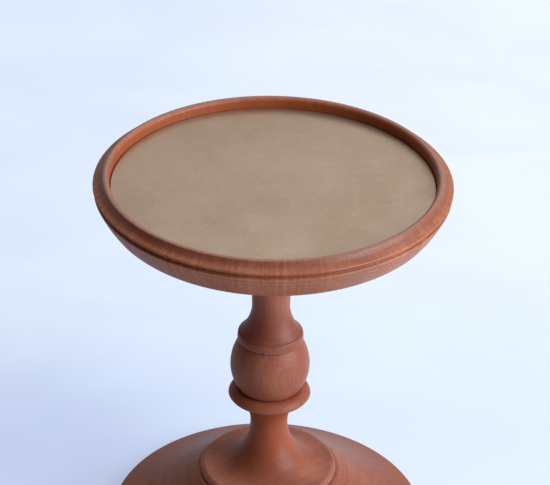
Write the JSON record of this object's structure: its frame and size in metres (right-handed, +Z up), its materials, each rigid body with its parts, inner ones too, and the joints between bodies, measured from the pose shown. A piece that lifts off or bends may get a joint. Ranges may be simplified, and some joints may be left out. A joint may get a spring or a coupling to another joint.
{
  "type": "candle stand",
  "caption": "Turned wooden candle stand: a baluster stem on a flared round base carries a dished, moulded tray with a flush brass plate.",
  "frame": {"origin": "middle of the flat underside of the felt, on the axis that every piece is turned about", "axes": "+Z up along the turning axis; X and Y lie in the resting plane, and the turned form makes them alike"},
  "size_m": [0.12, 0.12, 0.1437],
  "materials": {
    "wood": "reddish brown hardwood, turned and oiled to a satin",
    "brass": "matte, lightly tarnished sheet",
    "steel": "zinc plated",
    "felt": "dark pressed felt",
    "adhesive": "dried contact adhesive"
  },
  "bodies": {
    "root": {"base_felt": "felt", "base_disc": "wood", "base_screw": "steel", "stem": "wood", "top_tray": "wood", "tray_screw": "steel", "plate_adhesive": "adhesive", "brass_plate": "brass"}
  },
  "joints": []
}
